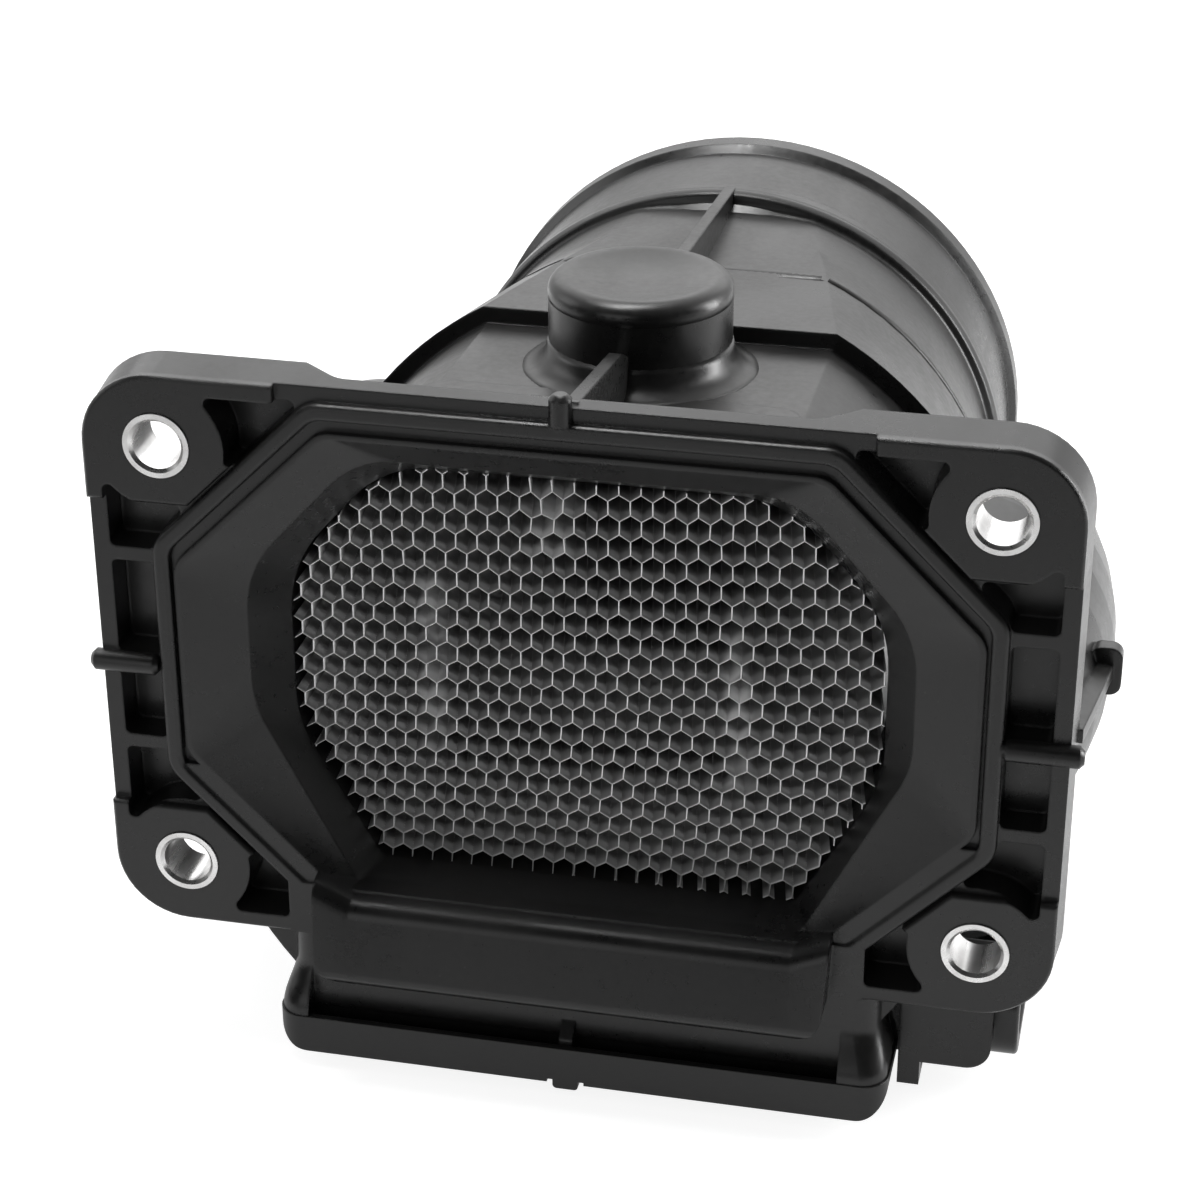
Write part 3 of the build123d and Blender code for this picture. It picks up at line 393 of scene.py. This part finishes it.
def honeycomb_tree(foil_metal, glue):
    """Walls and glue beads of the whole pack, drawn flat in the XY plane and stood up at the end."""
    tree = bpy.data.node_groups.new("honeycomb", "GeometryNodeTree")
    face = tree.interface
    face.new_socket("Geometry", in_out="OUTPUT", socket_type="NodeSocketGeometry")
    named = {}
    sizes = ["Single wall", "Double wall", "Depth", "Front", "Lean", "Dent", "Bead"]
    kinds = [("Cut", "Object")] + [(size, "Float") for size in sizes] + [("Columns", "Int"), ("Rows", "Int")]
    for name, kind in kinds:
        named[name] = face.new_socket(name, in_out="INPUT", socket_type="NodeSocket" + kind).identifier
    start = Wire(tree)
    entry = tree.nodes.new("NodeGroupInput")
    given = {socket.name: Wire(tree, socket) for socket in entry.outputs if socket.name}

    def part(geometry, axis):
        return start.add("ShaderNodeSeparateXYZ", {0: geometry}, out=axis)

    def place(x, y, z):
        return start.add("ShaderNodeCombineXYZ", {0: x, 1: y, 2: z})

    def realised(points, shape):
        laid = start.add("GeometryNodeInstanceOnPoints", {"Points": points, "Instance": shape})
        return start.add("GeometryNodeRealizeInstances", {0: laid})

    spot = start.add("GeometryNodeInputPosition")
    cut = start.add("GeometryNodeObjectInfo", {0: given["Cut"]}, out="Geometry")

    def outside():
        """Whether a point lies off the cut outline, by a ray straight down on it."""
        above = start.add("ShaderNodeVectorMath", {0: spot, 1: (0.0, 0.0, 0.01)}, operation="ADD")
        hit = start.add("GeometryNodeRaycast", {
            "Target Geometry": cut, "Source Position": above,
            "Ray Direction": (0.0, 0.0, -1.0), "Ray Length": 0.1,
        }, out="Is Hit")
        return start.add("FunctionNodeBooleanMath", {0: hit}, operation="NOT")

    def bend(geometry):
        """Carries columns and rows to metres, with small dents all over and a crushed patch near the top."""
        x = bent(part(spot, 0), part(spot, 1), BEND_X)
        y = bent(part(spot, 0), part(spot, 1), BEND_Z)
        crushed_at = (-0.0045, 0.0215, 0.0)
        away = {0: place(x, y, 0.0), 1: crushed_at}
        away = start.add("ShaderNodeVectorMath", away, out="Value", operation="DISTANCE")
        crush = 1 - away.step(0.001, 0.007)
        wander = start.add("ShaderNodeTexNoise", {"Vector": spot, "Scale": 2.3, "Detail": 1.0}, out="Color")
        reach = given["Dent"] * (1 + crush * 4.5)
        dx = (part(wander, 0) - 0.5) * reach
        dy = (part(wander, 1) - 0.5) * reach
        moved = place(x + dx, y + dy, 0.0)
        return start.add("GeometryNodeSetPosition", {"Geometry": geometry, "Position": moved})

    grid = start.add("GeometryNodeMeshGrid", {
        "Size X": given["Columns"] - 1, "Size Y": given["Rows"] - 1,
        "Vertices X": given["Columns"], "Vertices Y": given["Rows"],
    })
    odd = (part(spot, 1) + 100.5).maths("FLOORED_MODULO", 2.0).maths("GREATER_THAN", 1.0)
    cells = start.add("GeometryNodeSetPosition", {"Geometry": grid, "Offset": place(odd * 0.5, 0.0, 0.0)})

    def walls(lines, thickness):
        """Turns each line into a closed strip of foil, cut off where it leaves the outline."""
        laid = bend(realised(cells, lines))
        path = start.add("GeometryNodeMeshToCurve", {0: laid})
        path = start.add("GeometryNodeResampleCurve", {"Curve": path, "Count": 9})
        path = start.add("GeometryNodeDeleteGeometry", {0: path, 1: outside()}, domain="POINT")
        path = start.add("GeometryNodeResampleCurve", {"Curve": path, "Count": 2})
        path = start.add("GeometryNodeSetCurveNormal", {0: path}, mode="Z_UP")
        strip = {"Width": thickness, "Height": given["Depth"]}
        strip = start.add("GeometryNodeCurvePrimitiveQuadrilateral", strip)
        strip = start.add("GeometryNodeSubdivideCurve", {0: strip, 1: 2})
        swept = {"Curve": path, "Profile Curve": strip, "Fill Caps": True}
        return start.add("GeometryNodeCurveToMesh", swept)

    def line(a, b):
        ends = {"Count": 2, "Start Location": a, "Offset": b}
        return start.add("GeometryNodeMeshLine", ends, mode="END_POINTS")

    upright = line((0.5, -1 / 3, 0.0), (0.5, 1 / 3, 0.0))
    left = line((0.5, 1 / 3, 0.0), (0.0, 2 / 3, 0.0))
    right = line((0.5, 1 / 3, 0.0), (1.0, 2 / 3, 0.0))

    def joined(*pieces):
        node = tree.nodes.new("GeometryNodeJoinGeometry")
        for piece in pieces:
            tree.links.new(piece.socket, node.inputs[0])
        return Wire(tree, node.outputs[0])

    slants = [walls(slant, given["Single wall"]) for slant in (left, right)]
    foil = joined(walls(upright, given["Double wall"]), *slants)

    creases = start.add("GeometryNodeSetPosition", {"Geometry": cells, "Offset": (0.5, 1 / 3, 0.0)})
    creases = bend(creases)
    creases = start.add("GeometryNodeDeleteGeometry", {0: creases, 1: outside()}, domain="POINT")
    bead_count = 14
    first_bead = (0.0, 0.00013, 0.0057)
    to_next_bead = (0.0, 0.0, -0.00066)
    row = {"Count": bead_count, "Start Location": first_bead, "Offset": to_next_bead}
    row = start.add("GeometryNodeMeshLine", row)
    drop = start.add("GeometryNodeMeshIcoSphere", {"Radius": given["Bead"], "Subdivisions": 1})
    beads = realised(realised(creases, row), drop)

    def finished(flat, made):
        """Stands a flat piece up behind the seat's front, leaning but at its left edge, in its material."""
        left_edge = 0.040
        lean_reach = 0.014
        back = given["Depth"] * 0.5 - part(spot, 2)
        lean = ((part(spot, 0) + left_edge) / lean_reach).maths("ADD", 0.0, clamp=True)
        x = part(spot, 0) + back / given["Depth"] * given["Lean"] * lean
        stood = {"Geometry": flat, "Position": place(x, given["Front"] + back, part(spot, 1))}
        stood = start.add("GeometryNodeSetPosition", stood)
        stood = start.add("GeometryNodeRealizeInstances", {0: stood})
        return start.add("GeometryNodeSetMaterial", {"Geometry": stood, "Material": made})

    whole = joined(finished(foil, foil_metal), finished(beads, glue))
    exit_node = tree.nodes.new("NodeGroupOutput")
    tree.links.new(whole.socket, exit_node.inputs[0])
    return tree, named


def foil_finish():
    """Bright foil whose front strip and cut ends are painted paler than its walls as a highlight, with
    painted glints in two columns and a patch.
    """
    made, start = new_material("honeycomb_foil")
    at = start.add("ShaderNodeTexCoord", out=3)
    x = start.add("ShaderNodeSeparateXYZ", {0: at}, out=0)
    y = start.add("ShaderNodeSeparateXYZ", {0: at}, out=1)
    z = start.add("ShaderNodeSeparateXYZ", {0: at}, out=2)
    # Painted highlight: the front half millimetre of every wall, cut end included, is paler than the rest of
    # the same foil.
    painted_end_highlight = 1 - y.step(SEAT_Y * MM + 0.00005, SEAT_Y * MM + 0.0005)
    crease = noise(start, at, 700.0, 3.0, 0.6)
    cloud = noise(start, at, 120.0, 2.0)

    def column(centre, half, top, bottom):
        """A soft-edged upright band of painted glint, from its middle and half width in x and its ends in z.
        """
        across = 1 - (x - centre).maths("ABSOLUTE").step(half * 0.3, half)
        return across * (1 - z.step(top - 0.003, top + 0.001)) * z.step(bottom - 0.001, bottom + 0.003)

    # Painted reflection: two upright bands and a patch over the crushed cells are whiter and less metallic,
    # standing in for glints of light deep in the cells.
    painted_glints = column(-0.0213, 0.0026, 0.0125, -0.0175) * 0.8 + column(0.0206, 0.0026, 0.0105, -0.0175)
    painted_glints = painted_glints + column(-0.0048, 0.0045, 0.028, 0.0150) * 0.8
    painted_glints = painted_glints * cloud.step(0.35, 0.6)
    colour = painted_end_highlight.blend(grey(0.55), grey(0.86))
    colour = painted_glints.blend(colour, grey(0.95))
    gloss = 0.50 + (crease - 0.5) * 0.2
    bumped = start.add("ShaderNodeBump", {"Height": crease, "Strength": 0.35, "Distance": 0.0001})
    metal = 1 - painted_glints * 0.7
    surface(start, {"Base Color": colour, "Metallic": metal, "Roughness": gloss, "Normal": bumped})
    return made


def glue_finish():
    made, start = new_material("cell_glue")
    at = start.add("ShaderNodeTexCoord", out=3)
    cloud = noise(start, at, 300.0)
    colour = cloud.blend(grey(0.55, 0.02), grey(0.9, 0.01))
    surface(start, {"Base Color": colour, "Roughness": 0.3 + cloud * 0.2})
    return made


def settle(name, tree, named, values):
    """Runs a Geometry Nodes tree with these inputs and keeps the result as a plain mesh."""
    seed = bpy.data.objects.new(name + "_seed", bpy.data.meshes.new(name + "_seed"))
    bpy.context.scene.collection.objects.link(seed)
    modifier = seed.modifiers.new("nodes", "NODES")
    modifier.node_group = tree
    for key, value in values.items():
        modifier[named[key]] = value
    bpy.context.view_layer.update()
    built = seed.evaluated_get(bpy.context.evaluated_depsgraph_get())
    mesh = bpy.data.meshes.new_from_object(built)
    mesh.name = name
    bpy.data.objects.remove(seed)
    piece = bpy.data.objects.new(name, mesh)
    bpy.context.scene.collection.objects.link(piece)
    return piece


guide = seat_guide(0.12)
bpy.context.scene.collection.objects.link(guide)
tree, named = honeycomb_tree(foil_finish(), glue_finish())
honeycomb = settle("honeycomb", tree, named, {
    "Cut": guide, "Single wall": 0.00010, "Double wall": 0.00016, "Depth": FOIL_DEPTH * MM,
    "Front": SEAT_Y * MM, "Lean": -0.0024, "Dent": 0.00030, "Bead": 0.00006,
    "Columns": FOIL_COLUMNS, "Rows": FOIL_ROWS,
})
bpy.data.objects.remove(guide)
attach(honeycomb, "root")
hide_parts("flow_straightener")


# ---------------------------------------------------------------- other inner parts
# Drawn-steel cans, tinned terminals, soft seals, the board with its chips, and a moulded probe. They sit in
# the electronics box, the boss, the socket and the air passage, where little of them shows from outside.

def plain_finish(name, dark, pale, metal, rough, scale):
    made, start = new_material(name)
    at = start.add("ShaderNodeTexCoord", out=3)
    cloud = noise(start, at, scale, 4.0, 0.6)
    fine = noise(start, at, scale * 8, 2.0)
    gloss = rough + (cloud - 0.5) * 0.2
    bumped = start.add("ShaderNodeBump", {"Height": fine, "Strength": 0.12, "Distance": 0.0001})
    colour = cloud.blend(dark, pale)
    surface(start, {"Base Color": colour, "Metallic": metal, "Roughness": gloss, "Normal": bumped})
    return made


can_finish = plain_finish("transducer_case", grey(0.45), grey(0.7), 1.0, 0.3, 300.0)
for node in ("ultrasonic_transmitter", "ultrasonic_receiver", "filter_capacitor", "clock_crystal"):
    dress(node, can_finish)
rubber_finish = plain_finish("seal_rubber", grey(0.012), grey(0.03), 0.0, 0.6, 500.0)
for node in ("transmitter_seal", "receiver_seal", "cover_seal"):
    dress(node, rubber_finish)
tin_finish = plain_finish("terminal_metal", grey(0.5, 0.03), grey(0.75, 0.02), 1.0, 0.28, 700.0)
for node in [f"terminal_{n}" for n in range(1, 8)] + ["transmitter_lead"]:
    dress(node, tin_finish)
dress("air_temperature_sensor", plain_finish("probe_plastic", grey(0.02), grey(0.05), 0.0, 0.45, 400.0))
green_dark = (0.01, 0.06, 0.03, 1)
green_pale = (0.02, 0.12, 0.05, 1)
dress("circuit_board", plain_finish("board_laminate", green_dark, green_pale, 0.0, 0.4, 200.0))
resin_finish = plain_finish("chip_resin", grey(0.012), grey(0.025), 0.0, 0.5, 900.0)
for node in ("processor_chip", "amplifier_chip", "pressure_sensor"):
    dress(node, resin_finish)


# ---------------------------------------------------------------- floor, light and camera
# A white table with large soft lights behind and above, a narrow one on the right and weak ones on the left
# and in front. The camera has a long lens and looks down from the right.


def white_floor():
    mesh = bpy.data.meshes.new("floor")
    reach = 6.0
    corners = [(-reach, -reach, 0), (reach, -reach, 0), (reach, reach, 0), (-reach, reach, 0)]
    mesh.from_pydata(corners, [], [(0, 1, 2, 3)])
    floor = bpy.data.objects.new("floor", mesh)
    floor.location.z = cad_box[0].z - 0.0001
    made, start = new_material("white_table")
    seen = start.add("ShaderNodeLightPath", out="Is Camera Ray")
    shiny = start.add("ShaderNodeLightPath", out="Is Glossy Ray")
    through = start.add("ShaderNodeLightPath", out="Is Transmission Ray")
    depth = start.add("ShaderNodeSeparateXYZ", {0: start.add("ShaderNodeTexCoord", out=3)}, out=1)
    backdrop = 0.17 + depth.step(-0.30, 0.20) * 0.55
    strength = seen * 0.86 + (shiny + through) * (1 - seen) * backdrop
    lit = start.add("ShaderNodeBsdfDiffuse", {"Color": grey(0.45)})
    shown = start.add("ShaderNodeEmission", {"Color": grey(1.0), "Strength": strength})
    both = start.add("ShaderNodeAddShader", {0: lit, 1: shown})
    output = start.tree.nodes.new("ShaderNodeOutputMaterial")
    start.tree.links.new(both.socket, output.inputs["Surface"])
    mesh.materials.append(made)
    bpy.context.scene.collection.objects.link(floor)


def soft_light(name, place, aim, width, height, power):
    lamp = bpy.data.lights.new(name, "AREA")
    lamp.shape = "RECTANGLE"
    lamp.size = width
    lamp.size_y = height
    lamp.energy = power
    held = bpy.data.objects.new(name, lamp)
    held.location = place
    held.rotation_euler = (Vector(aim) - Vector(place)).to_track_quat("-Z", "Y").to_euler()
    bpy.context.scene.collection.objects.link(held)


def studio_world():
    world = bpy.data.worlds.new("studio")
    world.use_nodes = True
    world.node_tree.nodes.clear()
    start = Wire(world.node_tree)
    seen = start.add("ShaderNodeLightPath", out="Is Camera Ray")
    shiny = start.add("ShaderNodeLightPath", out="Is Glossy Ray")
    toward = start.add("ShaderNodeTexCoord", out=0)
    behind = start.add("ShaderNodeSeparateXYZ", {0: toward}, out=1)
    high = start.add("ShaderNodeSeparateXYZ", {0: toward}, out=2)
    backdrop = 0.03 + behind.step(-0.1, 0.7) * 0.97
    room = 0.16 + behind.step(-0.1, 0.9) * 0.20 + high.step(0.2, 0.9) * 0.10
    strength = seen.maths("MAXIMUM", shiny * backdrop + (1 - shiny) * room)
    out = start.add("ShaderNodeBackground", {"Color": grey(1.0), "Strength": strength})
    output = start.tree.nodes.new("ShaderNodeOutputWorld")
    start.tree.links.new(out.socket, output.inputs["Surface"])
    bpy.context.scene.world = world


white_floor()
studio_world()
soft_light("back_light", (-0.10, 0.85, 0.50), (0.0, 0.05, 0.0), 1.2, 0.45, 2.4)
soft_light("top_light", (-0.15, 0.14, 0.80), (0.0, 0.03, 0.0), 0.40, 0.16, 5.0)
soft_light("right_light", (0.75, 0.30, 0.20), (0.0, 0.08, 0.0), 0.25, 0.6, 6.2)
soft_light("left_light", (-0.8, 0.1, 0.35), (0.0, 0.05, 0.0), 0.4, 0.5, 1.2)
soft_light("front_light", (-0.35, -0.95, 0.30), (0.0, 0.0, 0.0), 0.7, 0.5, 1.1)

camera = bpy.data.cameras.new("camera")
camera.sensor_width = 36.0
camera.lens = 90.18
picture_width = 1200
camera.shift_x = -1.3 / picture_width
camera.shift_y = 0.6 / picture_width
camera.clip_start = 0.01
camera.clip_end = 50.0
viewer = bpy.data.objects.new("camera", camera)
viewer.location = (0.07787232, -0.33424195, 0.18948949)
viewer.rotation_euler = Euler((1.09994323, 0.00208271, 0.21560557))
bpy.context.scene.collection.objects.link(viewer)
bpy.context.scene.camera = viewer
bpy.context.scene.view_settings.view_transform = "Standard"
